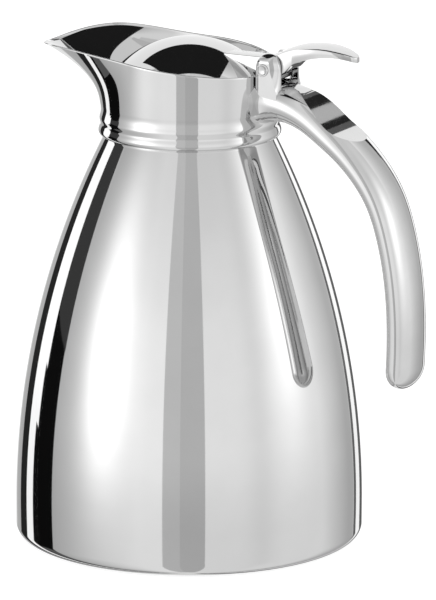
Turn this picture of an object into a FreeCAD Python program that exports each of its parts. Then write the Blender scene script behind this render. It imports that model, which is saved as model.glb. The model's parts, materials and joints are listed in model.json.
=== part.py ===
"""Vacuum coffee pot with a hinged lid: double-wall body, pouring collar, open handle, thumb lever.

Units are millimetres. The origin is on the body's axis at the plane the pot stands on.
+Z is up, the handle points to +X and the spout to -X.
"""
import FreeCAD, Part
import math
import os

import Sketcher

SIZES = {
    # body
    "body_radius": 65.0,
    "body_arc": 313.0,
    "body_arc_start": 13.0,
    "shell_wall": 0.8,
    "corner_arc": 4.5,
    "base_gap": 0.6,
    "lip_radius": 57.5,
    "seam_height": 153.7,
    "neck_radius": 31.6,
    "neck_top": 160.0,
    # base
    "base_edge": 60.3,
    "foot_inner": 49.5,
    "foot_outer": 56.5,
    "recess_radius": 44.0,
    "recess_depth": 3.8,
    "cover_wall": 0.8,
    "cover_height": 3.0,
    "seal_hole": 1.5,
    "seal_radius": 3.5,
    "seal_height": 1.6,
    "getter_radius": 4.0,
    "getter_height": 2.0,
    "getter_offset": 20.0,
    # inner flask
    "flask_gap": 6.0,
    "flask_wall": 0.6,
    "flask_base": 11.0,
    "flask_corner": 8.0,
    "flask_floor": 48.0,
    "throat_radius": 26.4,
    "throat_start": 148.6,
    # collar
    "collar_radius": 33.0,
    "collar_wall": 0.8,
    "bead_radius": 33.9,
    "bead_foot": 33.5,
    "bead_height": 155.5,
    "groove_radius": 33.3,
    "groove_height": 157.7,
    "roll_radius": 33.6,
    "roll_height": 159.9,
    "collar_start": 162.5,
    "collar_top": 192.0,
    "spout_reach": 24.8,
    "spout_root": 156.4,
    "spout_level": 184.0,
    "spout_angle": 62.0,
    # funnel and gasket inside the collar
    "gasket_height": 0.8,
    "funnel_wall": 0.8,
    "funnel_throat": 27.2,
    "funnel_rise": 4.4,
    # hinge
    "hinge_x": 35.3,
    "hinge_z": 182.5,
    "pin_radius": 1.3,
    "pin_play": 0.05,
    "pin_head": 2.1,
    "pin_head_height": 0.6,
    "bush_radius": 2.1,
    "bush_flange": 3.2,
    "bush_flange_wall": 0.2,
    "knuckle_radius": 4.2,
    "knuckle_half": 6.2,
    "notch_bottom": 177.2,
    "ear_inner": 6.7,
    "ear_outer": 10.0,
    "ear_back": 41.8,
    # handle
    "grip_half_width": 11.6,
    "grip_half_depth": 5.5,
    "root_half_width": 10.0,
    "root_bottom": 161.8,
    "root_top": 176.6,
    "facet_slope": 0.62,
    "screw_height": 168.9,
    "screw_spread": 10.0,
    "screw_radius": 1.6,
    "screw_head": 2.4,
    "screw_head_height": 1.3,
    "screw_length": 8.0,
    "plate_gasket": 0.4,
    "plate_wall": 1.0,
    "plate_bottom": 166.2,
    "plate_top": 171.6,
    "plate_half_angle": 17.0,
    # lid
    "dome_sphere": 37.0,
    "dome_centre": 152.9,
    "dome_edge": 30.0,
    "dome_foot": 172.4,
    "dome_wall": 0.8,
    "stopper_rim": 29.0,
    "stopper_neck": 28.0,
    "stopper_foot": 26.4,
    "stopper_base": 163.4,
    "stopper_wall": 1.5,
    "seal_top": 167.0,
    "seal_bottom": 164.8,
    "seal_outer": 28.6,
    "foam_top": 172.2,
    "lid_screw_radius": 1.2,
    "lid_screw_head": 2.2,
    "lid_screw_near": 20.6,
    "lid_screw_far": 25.4,
    # lever
    "tongue_half": 4.2,
    "tongue_front": 16.6,
    "tongue_top": 186.1,
    "lever_peak_x": 54.5,
    "lever_peak_z": 191.8,
    "lever_tip_x": 70.2,
    "lever_tip_z": 188.3,
}

doc = FreeCAD.newDocument("coffee_pot")
sheet = doc.addObject("Spreadsheet::Sheet", "Sizes")
nodes = []


class Size:
    """A length that knows both its value and the spreadsheet expression behind it."""

    def __init__(self, value, text):
        self.value = value
        self.text = text

    def __add__(self, other):
        other = as_size(other)
        return Size(self.value + other.value, f"({self.text} + {other.text})")

    def __sub__(self, other):
        other = as_size(other)
        return Size(self.value - other.value, f"({self.text} - {other.text})")

    def __mul__(self, factor):
        return Size(self.value * factor, f"({self.text} * {factor})")

    def __neg__(self):
        return Size(-self.value, f"(0 - {self.text})")


def as_size(value):
    """Turn a plain number into a Size, and leave a Size as it is."""
    if isinstance(value, Size):
        return value
    return Size(float(value), str(float(value)))


def mm(alias):
    """The driving dimension with this alias."""
    return Size(SIZES[alias], f"Sizes.{alias}")


def fill_sheet():
    """Write every driving dimension to the spreadsheet, one row each."""
    for row, (alias, value) in enumerate(SIZES.items(), start=1):
        sheet.set(f"A{row}", alias)
        sheet.set(f"B{row}", str(value))
        sheet.setAlias(f"B{row}", alias)
    doc.recompute()


def bind(feature, **sizes):
    """Bind properties of a feature to sizes, as numbers first and expressions after."""
    for name, size in sizes.items():
        size = as_size(size)
        setattr(feature, name, size.value)
        feature.setExpression(name, size.text)


def place(feature, x=0.0, y=0.0, z=0.0, axis=(0, 0, 1), angle=0.0):
    """Place a feature; the position is bound, the turn is fixed."""
    turn = FreeCAD.Rotation(FreeCAD.Vector(*axis), angle)
    sizes = [as_size(value) for value in (x, y, z)]
    feature.Placement = FreeCAD.Placement(FreeCAD.Vector(*[size.value for size in sizes]), turn)
    for name, size in zip("xyz", sizes):
        feature.setExpression(f"Placement.Base.{name}", size.text)


def node(feature, name):
    """Name a finished sub-part and keep it for export."""
    feature.Label = name
    nodes.append(feature)
    return feature


# ---------------------------------------------------------------- sketches

def arc_between(start, end, radius, left):
    """Arc from start to end with its centre on the left or the right of the way."""
    chord = end - start
    middle = (start + end) * 0.5
    height = math.sqrt(max(radius * radius - chord.Length * chord.Length / 4.0, 0.0))
    side = FreeCAD.Vector(-chord.y, chord.x, 0).normalize()
    centre = middle + side * (height if left else -height)
    first, last = (start, end) if left else (end, start)
    angles = [math.atan2(point.y - centre.y, point.x - centre.x) for point in (first, last)]
    if angles[1] < angles[0]:
        angles[1] += 2.0 * math.pi
    circle = Part.Circle(centre, FreeCAD.Vector(0, 0, 1), radius)
    return Part.ArcOfCircle(circle, angles[0], angles[1])


def fix_point(sketch, geometry, end, x, y):
    """Hold one end of a geometry at bound coordinates."""
    for axis, kind, size in ((-2, "DistanceX", x), (-1, "DistanceY", y)):
        if size.value == 0.0:
            sketch.addConstraint(Sketcher.Constraint("PointOnObject", geometry, end, axis))
            continue
        row = sketch.addConstraint(Sketcher.Constraint(kind, -1, 1, geometry, end, size.value))
        sketch.setExpression(f"Constraints[{row}]", size.text)


def outline(sketch, corners):
    """Draw a closed outline; a corner is (x, y) or (x, y, arc radius, "left" or "right")."""
    points = [(as_size(corner[0]), as_size(corner[1])) for corner in corners]
    places = [FreeCAD.Vector(x.value, y.value, 0) for x, y in points]
    heads = []
    for index, corner in enumerate(corners):
        start = places[index]
        end = places[(index + 1) % len(corners)]
        if len(corner) == 2:
            sketch.addGeometry(Part.LineSegment(start, end))
            heads.append((1, 2))
            continue
        left = corner[3] == "left"
        sketch.addGeometry(arc_between(start, end, as_size(corner[2]).value, left))
        heads.append((1, 2) if left else (2, 1))
    for index, (x, y) in enumerate(points):
        before = index - 1 if index else len(corners) - 1
        link = Sketcher.Constraint("Coincident", before, heads[before][1], index, heads[index][0])
        sketch.addConstraint(link)
        fix_point(sketch, index, heads[index][0], x, y)
    for index, corner in enumerate(corners):
        if len(corner) == 4:
            radius = as_size(corner[2])
            row = sketch.addConstraint(Sketcher.Constraint("Radius", index, radius.value))
            sketch.setExpression(f"Constraints[{row}]", radius.text)


def origin_plane(body, role):
    """The body's own origin plane with this role."""
    for feature in body.Origin.OriginFeatures:
        if feature.Role == role:
            return feature
    raise ValueError(role)


def body_sketch(body, name, corners):
    """Sketch on the body's XZ plane: sketch x is the radius, sketch y is the height."""
    sketch = body.newObject("Sketcher::SketchObject", name)
    sketch.AttachmentSupport = [(origin_plane(body, "XZ_Plane"), "")]
    sketch.MapMode = "FlatFace"
    outline(sketch, corners)
    return sketch


def turned(name, corners):
    """A body turned about Z from its half section."""
    body = doc.addObject("PartDesign::Body", f"{name}_body")
    sketch = body_sketch(body, f"{name}_section", corners)
    doc.recompute()
    turn = body.newObject("PartDesign::Revolution", f"{name}_turn")
    turn.Profile = sketch
    turn.ReferenceAxis = (sketch, ["V_Axis"])
    turn.Angle = 360.0
    doc.recompute()
    body.Tip = turn
    return body


def side_plate(name, corners, half_width):
    """A plate cut to an outline in the XZ plane, spread evenly to both sides of it."""
    sketch = doc.addObject("Sketcher::SketchObject", f"{name}_outline")
    sketch.Placement.Rotation = FreeCAD.Rotation(FreeCAD.Vector(1, 0, 0), 90)
    outline(sketch, corners)
    plate = doc.addObject("Part::Extrusion", name)
    plate.Base = sketch
    plate.DirMode = "Normal"
    plate.Symmetric = True
    plate.Solid = True
    bind(plate, LengthFwd=as_size(half_width) * 2.0)
    return plate


def flat_plate(name, corners, bottom, height):
    """A plate cut to an outline in the XY plane, from bottom upwards."""
    sketch = doc.addObject("Sketcher::SketchObject", f"{name}_outline")
    outline(sketch, corners)
    place(sketch, z=bottom)
    plate = doc.addObject("Part::Extrusion", name)
    plate.Base = sketch
    plate.DirMode = "Normal"
    plate.Solid = True
    bind(plate, LengthFwd=height)
    return plate


def cylinder(name, radius, height, **where):
    """A bound Part cylinder, with its axis along Z before it is placed."""
    feature = doc.addObject("Part::Cylinder", name)
    bind(feature, Radius=radius, Height=height)
    place(feature, **where)
    return feature


def cross_cylinder(name, radius, half_length):
    """A cylinder on the hinge axis, along Y."""
    return cylinder(name, radius, as_size(half_length) * 2.0, x=mm("hinge_x"),
                    y=as_size(half_length), z=mm("hinge_z"), axis=(1, 0, 0), angle=90)


def fuse(name, shapes):
    feature = doc.addObject("Part::MultiFuse", name)
    feature.Shapes = shapes
    feature.Refine = True
    return feature


def common(name, shapes):
    feature = doc.addObject("Part::MultiCommon", name)
    feature.Shapes = shapes
    return feature


def cut(name, base, tool):
    feature = doc.addObject("Part::Cut", name)
    feature.Base = base
    feature.Tool = tool
    return feature


def together(name, shapes):
    """Separate solids that share one node."""
    feature = doc.addObject("Part::Compound", name)
    feature.Links = shapes
    return feature


# ---------------------------------------------------------------- body

def arc_radius_at(height, inset):
    """Radius of the body's arc, moved inwards by inset, at a height."""
    radius = SIZES["body_arc"] - inset
    centre = SIZES["body_radius"] - SIZES["body_arc"]
    rise = height - SIZES["body_arc_start"]
    return centre + math.sqrt(radius * radius - rise * rise)


def make_outer_shell():
    """Outer wall: bottom lip, rounded corner, one long arc, straight neck under the bead."""
    wall = mm("shell_wall")
    bottom = mm("base_gap")
    corner = mm("body_radius") - mm("corner_arc")
    neck = mm("neck_radius")
    low = mm("base_gap") + mm("corner_arc")
    inner_seam = arc_radius_at(SIZES["seam_height"], SIZES["shell_wall"])
    body = turned("outer_shell", [
        (mm("lip_radius"), bottom),
        (corner, bottom, mm("corner_arc"), "left"),
        (mm("body_radius"), low),
        (mm("body_radius"), mm("body_arc_start"), mm("body_arc"), "left"),
        (neck, mm("seam_height")),
        (neck, mm("neck_top")),
        (as_size(inner_seam), mm("neck_top")),
        (as_size(inner_seam), mm("seam_height"), mm("body_arc") - wall, "right"),
        (mm("body_radius") - wall, mm("body_arc_start")),
        (mm("body_radius") - wall, low, mm("corner_arc") - wall, "right"),
        (corner, bottom + wall),
        (mm("lip_radius"), bottom + wall),
    ])
    return node(body, "outer_shell")


def make_outer_bottom():
    """Pressed disc on the shell's lip, with a central recess and the evacuation hole."""
    wall = mm("shell_wall")
    low = mm("base_gap") + wall
    high = low + mm("recess_depth")
    body = turned("outer_bottom", [
        (mm("seal_hole"), high),
        (mm("recess_radius"), high),
        (mm("recess_radius") + 2.0, low),
        (mm("base_edge"), low),
        (mm("base_edge"), low + wall),
        (mm("recess_radius") + 2.4, low + wall),
        (mm("recess_radius") + 0.4, high + wall),
        (mm("seal_hole"), high + wall),
    ])
    return node(body, "outer_bottom")


def make_vacuum_seal():
    """Solder plug: a shank in the evacuation hole and a head in the recess."""
    top = mm("base_gap") + mm("shell_wall") + mm("recess_depth")
    head = mm("seal_height")
    body = turned("vacuum_seal", [
        (0, top - head),
        (mm("seal_radius") - 1.0, top - head),
        (mm("seal_radius"), top - head + 0.8),
        (mm("seal_radius"), top),
        (mm("seal_hole"), top),
        (mm("seal_hole"), top + mm("shell_wall")),
        (0, top + mm("shell_wall")),
    ])
    return node(body, "vacuum_seal")


def make_getter():
    """Getter pellet on the recess, inside the vacuum."""
    top = mm("base_gap") + mm("shell_wall") * 2.0 + mm("recess_depth")
    pellet = cylinder("getter_pellet", mm("getter_radius"), mm("getter_height"),
                      x=mm("getter_offset"), z=top)
    return node(pellet, "getter")


def make_base_cover():
    """Thin cap pressed into the recess, over the vacuum seal, flush with the foot ring."""
    wall = mm("cover_wall")
    body = turned("base_cover", [
        (0, 0),
        (mm("recess_radius") - 1.0, 0),
        (mm("recess_radius"), 1.0),
        (mm("recess_radius"), mm("cover_height")),
        (mm("recess_radius") - wall, mm("cover_height")),
        (mm("recess_radius") - wall, 1.2),
        (mm("recess_radius") - wall - 0.6, wall),
        (0, wall),
    ])
    return node(body, "base_cover")


def make_foot_ring():
    """Soft ring under the outer bottom, on the table."""
    top = mm("base_gap") + mm("shell_wall")
    body = turned("foot_ring", [
        (mm("foot_inner"), 0.3),
        (mm("foot_inner") + 0.3, 0),
        (mm("foot_outer") - 0.3, 0),
        (mm("foot_outer"), 0.3),
        (mm("foot_outer"), top),
        (mm("foot_inner"), top),
    ])
    return node(body, "foot_ring")


def make_inner_vessel():
    """Inner flask: same arc moved inwards, straight throat, flare to the outer neck."""
    gap = mm("flask_gap") + mm("shell_wall")
    wall = mm("flask_wall")
    side = mm("body_radius") - gap
    corner = mm("flask_corner")
    base = mm("flask_base")
    throat = mm("throat_radius")
    top = mm("neck_top")
    flare = as_size(arc_radius_at(SIZES["seam_height"], SIZES["shell_wall"]))
    arc_top = mm("throat_start")
    shoulder = arc_radius_at(SIZES["throat_start"], SIZES["flask_gap"] + SIZES["shell_wall"])
    low = base + corner
    body = turned("inner_vessel", [
        (mm("flask_floor"), base),
        (side - corner, base, corner, "left"),
        (side, low),
        (side, low + 1.0, mm("body_arc") - gap, "left"),
        (as_size(shoulder), arc_top),
        (throat, arc_top + 1.0),
        (throat, top - wall),
        (flare, top - wall),
        (flare, top),
        (throat - wall, top),
        (throat - wall, arc_top + 0.8),
        (as_size(shoulder) - wall, arc_top - 0.2, mm("body_arc") - gap - wall, "right"),
        (side - wall, low + 1.0),
        (side - wall, low, corner - wall, "right"),
        (side - corner, base + wall),
        (mm("flask_floor"), base + wall),
    ])
    return node(body, "inner_vessel")


def make_inner_bottom():
    """Disc welded into the inner flask's floor."""
    base = mm("flask_base")
    wall = mm("flask_wall")
    body = turned("inner_bottom", [
        (0, base + 1.0),
        (mm("flask_floor") - 4.0, base + 1.0),
        (mm("flask_floor") - 2.0, base),
        (mm("flask_floor"), base),
        (mm("flask_floor"), base + wall),
        (mm("flask_floor") - 2.0, base + wall),
        (mm("flask_floor") - 4.0, base + 1.0 + wall),
        (0, base + 1.0 + wall),
    ])
    return node(body, "inner_bottom")


# ---------------------------------------------------------------- collar

def closed_curve(points):
    """Smooth closed wire through points, in two halves so that no face of a loft closes on itself."""
    curve = Part.BSplineCurve()
    curve.interpolate(points, PeriodicFlag=True)
    first = curve.FirstParameter
    last = curve.LastParameter
    middle = (first + last) / 2.0
    return Part.Wire([curve.toShape(first, middle), curve.toShape(middle, last)])


def make_neck_ring():
    """Locating ring between the shell's neck and the collar's foot."""
    inner = mm("neck_radius")
    outer = mm("collar_radius") - mm("collar_wall") - 0.1
    body = turned("neck_ring", [
        (inner, mm("seam_height") + 0.6),
        (outer, mm("seam_height") + 0.6),
        (outer, mm("neck_top")),
        (inner, mm("neck_top")),
    ])
    return node(body, "neck_ring")


def make_neck_gasket():
    """Silicone ring on the flask's flange, under the funnel."""
    top = mm("neck_top")
    body = turned("neck_gasket", [
        (mm("funnel_throat"), top),
        (mm("neck_radius"), top),
        (mm("neck_radius"), top + mm("gasket_height")),
        (mm("funnel_throat"), top + mm("gasket_height")),
    ])
    return node(body, "neck_gasket")


def make_pour_funnel():
    """Steel floor of the collar: a flange on the gasket and a cone that is the lid's seat."""
    low = mm("neck_top") + mm("gasket_height")
    wall = mm("funnel_wall")
    throat = mm("funnel_throat") - 1.0
    edge = mm("collar_radius") - mm("collar_wall") - 0.1
    high = low + mm("funnel_rise")
    body = turned("pour_funnel", [
        (throat, low),
        (edge - 0.6, low),
        (edge - 0.6, low + wall),
        (throat + 1.6, low + wall),
        (edge, high),
        (edge, high + wall),
        (edge - 0.4, high + wall),
        (throat, low + wall),
    ])
    return node(body, "pour_funnel")


def nose(angle):
    """How much of the spout's reach is left at an angle from its keel: 1 on the keel, 0 at the cheeks."""
    blunt = 0.05
    share = min(abs(angle) / math.radians(SIZES["spout_angle"]), 1.0)
    rise = (math.hypot(share, blunt) - blunt) / (math.hypot(1.0, blunt) - blunt)
    return max(1.0 - rise, 0.0) ** 1.5


def spout_radius(angle, height, inset):
    """Radius of the collar at an angle from the keel and a height, moved inwards by inset."""
    rise = (height - SIZES["spout_root"]) / (SIZES["spout_level"] - SIZES["spout_root"])
    blend = min(max((height - SIZES["collar_start"]) / 4.0, 0.0), 1.0)
    reach = SIZES["spout_reach"] * max(rise, 0.0) ** 2.1 * blend * blend * (3.0 - 2.0 * blend)
    return SIZES["collar_radius"] - inset + reach * nose(angle)


def collar_section(height, inset):
    """Closed horizontal section of the collar: a circle with a nose towards -X."""
    count = 48
    points = []
    for step in range(count):
        angle = 2.0 * math.pi * step / count
        signed = angle if angle <= math.pi else angle - 2.0 * math.pi
        radius = spout_radius(signed, height, inset)
        points.append(FreeCAD.Vector(-radius * math.cos(angle), -radius * math.sin(angle), height))
    return closed_curve(points)


def collar_loft(inset):
    """Solid inside the collar's surface, from its straight foot to above its rim."""
    levels = 9
    span = SIZES["collar_top"] - SIZES["collar_start"]
    heights = [SIZES["collar_start"] + span * step / (levels - 1) for step in range(levels)]
    return Part.makeLoft([collar_section(height, inset) for height in heights], True, False)


def make_collar_foot():
    """Turned foot of the collar, with its rolled bead, its groove and a second soft roll."""
    wall = mm("collar_wall")
    body = turned("collar_foot", [
        (mm("bead_foot"), mm("seam_height")),
        (mm("bead_radius"), mm("bead_height") - 0.8),
        (mm("bead_radius"), mm("bead_height") + 0.6),
        (mm("groove_radius"), mm("groove_height")),
        (mm("roll_radius"), mm("roll_height")),
        (mm("collar_radius"), mm("collar_start")),
        (mm("collar_radius") - wall, mm("collar_start")),
        (mm("collar_radius") - wall, mm("seam_height")),
    ])
    body.Label = "collar_foot"
    return body


def make_spout_collar():
    """Thin collar: foot, straight back and cheeks, pouring lip, rim falling towards the back."""
    foot = make_collar_foot()
    upper = doc.addObject("Part::Feature", "collar_upper")
    upper.Shape = collar_loft(0.0).cut(collar_loft(SIZES["collar_wall"]))
    reach = 80.0
    above = side_plate("collar_trim", [
        (-reach, 177.0),
        (-61.5, 182.2, 18.0, "right"),
        (-46.0, 187.1, 260.0, "right"),
        (33.0, 179.6),
        (reach, 177.0),
        (reach, 215.0),
        (-reach, 215.0),
    ], reach)
    notch = side_plate("collar_notch", [
        (20.0, mm("notch_bottom")),
        (40.0, mm("notch_bottom")),
        (40.0, 200.0),
        (20.0, 200.0),
    ], mm("ear_inner"))
    openings = fuse("collar_openings", [above, notch] + screw_holes("collar"))
    trimmed = cut("collar_trimmed", upper, openings)
    return node(fuse("collar_whole", [foot, trimmed]), "spout_collar")


# ---------------------------------------------------------------- handle

def grip_section(centre, direction, half_depth, half_width):
    """Oval section across the grip, in two halves."""
    across = FreeCAD.Vector(0, 1, 0)
    outward = direction.cross(across).normalize()
    oval = Part.Ellipse(centre + across * half_width, centre + outward * half_depth, centre)
    return Part.Wire([oval.toShape(0, math.pi), oval.toShape(math.pi, 2.0 * math.pi)])


def grip_path():
    """Centre line of the grip, from inside its root over the arch down to its free end."""
    points = [(36.0, 169.5), (43.0, 168.8), (51.2, 165.5), (59.0, 160.3), (66.8, 154.3),
              (74.0, 147.1), (80.5, 137.7), (85.0, 126.0), (88.2, 111.5), (89.8, 96.0),
              (90.0, 82.0), (89.3, 67.0)]
    curve = Part.BSplineCurve()
    curve.interpolate([FreeCAD.Vector(x, 0, z) for x, z in points])
    return curve


def make_grip():
    """Grip: oval all along, a little deeper and narrower at its root, rounded at its free end."""
    path = grip_path()
    length = path.length()
    end_round = 7.5
    stations = [length * share for share in (0.0, 0.12, 0.26, 0.42, 0.58, 0.74, 0.86)]
    stations += [length - end_round * (1.0 - math.sin(math.radians(turn))) for turn in (0, 32, 56, 74)]
    sections = []
    for station in stations:
        parameter = path.parameterAtDistance(station)
        near_root = 1.0 - min(station / (0.30 * length), 1.0)
        tip = math.sqrt(1.0 - (1.0 - min((length - station) / end_round, 1.0)) ** 2)
        half_depth = (SIZES["grip_half_depth"] + 1.4 * near_root) * tip
        half_width = (SIZES["grip_half_width"] - 3.0 * near_root) * tip
        direction = path.tangent(parameter)[0]
        sections.append(grip_section(path.value(parameter), direction, half_depth, half_width))
    grip = doc.addObject("Part::Feature", "grip")
    grip.Shape = Part.makeLoft(sections, True, False)
    return grip


def make_root_block():
    """Root of the handle: a block on the collar's back, with a sloping thumb facet on top."""
    return side_plate("root_block", [
        (31.0, mm("root_bottom") + 1.0),
        (33.8, mm("root_bottom") + 0.8),
        (36.5, mm("root_bottom") - 0.2),
        (45.0, mm("root_bottom") + 1.0),
        (50.0, mm("root_bottom") + 2.0),
        (50.0, mm("root_top")),
        (43.0, mm("root_top")),
        (40.5, mm("root_top") + 0.6),
        (31.0, mm("root_top") + 0.6),
    ], mm("root_half_width"))


def make_ears():
    """Two hinge ears on the root."""
    outer = side_plate("ear_block", [
        (32.9, 170.0),
        (mm("ear_back"), 170.0),
        (mm("ear_back"), 183.2, 4.6, "left"),
        (32.9, 184.0),
    ], mm("ear_outer"))
    slot = side_plate("ear_slot", [
        (30.0, 175.0),
        (46.0, 175.0),
        (46.0, 195.0),
        (30.0, 195.0),
    ], mm("ear_inner"))
    return cut("ears", outer, slot)


def make_handle():
    """Handle: grip, root and ears in one casting, cut to the collar, the facet and the pin."""
    blank = fuse("handle_blank", [make_grip(), make_root_block(), make_ears()])
    collar = cylinder("handle_seat", mm("collar_radius") + 0.02, 60.0, z=140.0)
    facet_run = 40.0
    step = 0.6
    facet = side_plate("facet_cut", [
        (mm("ear_back"), mm("root_top") + step),
        (mm("ear_back") + facet_run, mm("root_top") + step - mm("facet_slope") * facet_run),
        (110.0, mm("root_top") + 20.0),
        (46.0, mm("root_top") + 30.0),
    ], 30.0)
    bore = cross_cylinder("pin_bore", mm("pin_radius"), 15.0)
    tools = fuse("handle_cuts", [collar, facet, bore] + screw_holes("handle"))
    return node(cut("handle_cast", blank, tools), "handle")


def radial_cylinder(name, radius, start, height, side):
    """A cylinder whose axis is a radius of the collar, one to each side of the handle's middle."""
    angle = SIZES["screw_spread"] * side
    feature = doc.addObject("Part::Cylinder", name)
    bind(feature, Radius=radius, Height=height)
    turn = FreeCAD.Rotation(FreeCAD.Vector(0, 0, 1), angle)
    lay = FreeCAD.Rotation(FreeCAD.Vector(0, 1, 0), 90)
    reach = as_size(start)
    feature.Placement = FreeCAD.Placement(FreeCAD.Vector(0, 0, 0), turn * lay)
    feature.setExpression("Placement.Base.x", (reach * math.cos(math.radians(angle))).text)
    feature.setExpression("Placement.Base.y", (reach * math.sin(math.radians(angle))).text)
    feature.setExpression("Placement.Base.z", mm("screw_height").text)
    return feature


def screw_holes(owner):
    """Holes for the two handle screws, through the collar and into the handle."""
    return [radial_cylinder(f"{owner}_hole_{side + 1}", mm("screw_radius"), 25.0, 16.5, side)
            for side in (-1, 1)]


def make_handle_screws():
    """Two screws, heads inside the collar."""
    plate = mm("collar_radius") - mm("collar_wall") - mm("plate_gasket") - mm("plate_wall")
    screws = []
    for side in (-1, 1):
        start = plate - 0.1 - mm("screw_head_height")
        head = radial_cylinder(f"screw_head_{side + 1}", mm("screw_head"), start, mm("screw_head_height"), side)
        shank = radial_cylinder(f"screw_shank_{side + 1}", mm("screw_radius"), start + 0.5,
                                mm("screw_length") + 2.0, side)
        screws.append(fuse(f"screw_{side + 1}", [head, shank]))
    return node(together("screws", screws), "handle_screws")


def curved_plate(name, inner, outer, bottom, top, half_angle):
    """A plate bent round the collar's axis, centred on +X."""
    span = as_size(top) - as_size(bottom)
    outside = cylinder(f"{name}_outside", outer, span, z=bottom)
    inside = cylinder(f"{name}_inside", inner, span, z=bottom)
    outside.Angle = half_angle * 2.0
    inside.Angle = 360.0
    outside.Placement.Rotation = FreeCAD.Rotation(FreeCAD.Vector(0, 0, 1), -half_angle)
    return cut(name, outside, fuse(f"{name}_cuts", [inside] + screw_holes(name)))


def make_backplates():
    """Clamp plate and its gasket against the collar's inner wall."""
    wall = mm("collar_radius") - mm("collar_wall")
    gasket = wall - mm("plate_gasket")
    low = mm("plate_bottom")
    high = mm("plate_top")
    angle = SIZES["plate_half_angle"]
    node(curved_plate("gasket_sheet", gasket, wall, low, high, angle), "backplate_gasket")
    node(curved_plate("clamp_plate", gasket - mm("plate_wall"), gasket, low, high, angle), "handle_backplate")


def make_hinge_pin():
    """Pin with one domed head, pressed into both ears."""
    shank = cross_cylinder("pin_shank", mm("pin_radius"), mm("ear_outer"))
    head = cylinder("pin_head", mm("pin_head"), mm("pin_head_height"), x=mm("hinge_x"),
                    y=-mm("ear_outer"), z=mm("hinge_z"), axis=(1, 0, 0), angle=90)
    return node(fuse("pin", [shank, head]), "hinge_pin")


def make_hinge_pin_cap():
    """Matching head on the far ear."""
    cap = cylinder("pin_cap", mm("pin_head"), mm("pin_head_height"), x=mm("hinge_x"),
                   y=mm("ear_outer") + mm("pin_head_height"), z=mm("hinge_z"), axis=(1, 0, 0), angle=90)
    return node(cap, "hinge_pin_cap")


# ---------------------------------------------------------------- lid

def make_lid_cover():
    """Thin dome: a cap of a sphere with a short straight skirt."""
    wall = mm("dome_wall")
    sphere = SIZES["dome_sphere"]
    inner = sphere - SIZES["dome_wall"]
    edge = SIZES["dome_edge"]
    inner_edge = edge - SIZES["dome_wall"]
    outer_rise = SIZES["dome_centre"] + math.sqrt(sphere ** 2 - edge ** 2)
    inner_rise = SIZES["dome_centre"] + math.sqrt(inner ** 2 - inner_edge ** 2)
    body = turned("lid_cover", [
        (mm("dome_edge") - wall, mm("dome_foot")),
        (mm("dome_edge"), mm("dome_foot")),
        (mm("dome_edge"), as_size(outer_rise), mm("dome_sphere"), "left"),
        (0, mm("dome_centre") + mm("dome_sphere")),
        (0, mm("dome_centre") + mm("dome_sphere") - wall, mm("dome_sphere") - wall, "right"),
        (mm("dome_edge") - wall, as_size(inner_rise)),
    ])
    drilled = cut("lid_cover_drilled", body, fuse("cover_holes", lid_screw_shanks("cover_hole", 170.0, 20.0)))
    return node(drilled, "lid_cover")


def lid_screw_shanks(name, bottom, height):
    """Two upright cylinders at the lid screws' places."""
    return [cylinder(f"{name}_{index}", mm("lid_screw_radius"), height, x=mm(place_alias), z=bottom)
            for index, place_alias in enumerate(("lid_screw_near", "lid_screw_far"))]


def make_lid_screws():
    """Two screws from under the dome into the lever's tongue."""
    screws = []
    inner = SIZES["dome_sphere"] - SIZES["dome_wall"]
    for index, alias in enumerate(("lid_screw_near", "lid_screw_far")):
        reach = SIZES[alias] + SIZES["lid_screw_head"]
        under = SIZES["dome_centre"] + math.sqrt(inner ** 2 - reach ** 2) - 0.1
        head = cylinder(f"lid_screw_head_{index}", mm("lid_screw_head"), 1.2, x=mm(alias), z=under - 1.2)
        tip = SIZES["dome_centre"] + math.sqrt(SIZES["dome_sphere"] ** 2 - SIZES[alias] ** 2)
        top = min(tip + 3.6, SIZES["tongue_top"] - 1.0)
        shank = cylinder(f"lid_screw_shank_{index}", mm("lid_screw_radius"), top - under + 0.6,
                         x=mm(alias), z=under - 0.6)
        screws.append(fuse(f"lid_screw_{index}", [head, shank]))
    return node(together("lid_screw_pair", screws), "lid_screws")


def make_lid_stopper():
    """Plastic cup under the dome: rim in the skirt, tapered side, floor over the throat."""
    wall = mm("stopper_wall")
    base = mm("stopper_base")
    body = turned("lid_stopper", [
        (0, base),
        (mm("stopper_foot") - 0.6, base),
        (mm("stopper_foot"), base + 0.6),
        (mm("stopper_foot"), mm("seal_top")),
        (mm("stopper_neck"), mm("seal_top") + 1.6),
        (mm("stopper_neck"), mm("dome_foot") - 1.0),
        (mm("stopper_rim"), mm("dome_foot") - 0.4),
        (mm("stopper_rim"), mm("dome_foot") + 1.2),
        (mm("stopper_neck") - wall, mm("dome_foot") + 1.2),
        (mm("stopper_neck") - wall, mm("seal_top") + 1.6),
        (mm("stopper_foot") - wall, mm("seal_top")),
        (mm("stopper_foot") - wall, base + wall),
        (0, base + wall),
    ])
    return node(body, "lid_stopper")


def make_lid_insulation():
    """Foam block in the stopper."""
    wall = mm("stopper_wall")
    play = 0.2
    body = turned("lid_insulation", [
        (0, mm("stopper_base") + wall),
        (mm("stopper_foot") - wall - play, mm("stopper_base") + wall),
        (mm("stopper_foot") - wall - play, mm("foam_top")),
        (0, mm("foam_top")),
    ])
    return node(body, "lid_insulation")


def make_lid_seal():
    """Silicone ring round the stopper's foot, with a bevel that matches the funnel's cone."""
    inner = mm("stopper_foot")
    body = turned("lid_seal", [
        (inner, mm("seal_bottom")),
        (inner + 0.6, mm("seal_bottom")),
        (mm("seal_outer"), mm("seal_bottom") + 1.4),
        (mm("seal_outer") - 0.4, mm("seal_top")),
        (inner, mm("seal_top")),
    ])
    return node(body, "lid_seal")


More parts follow.
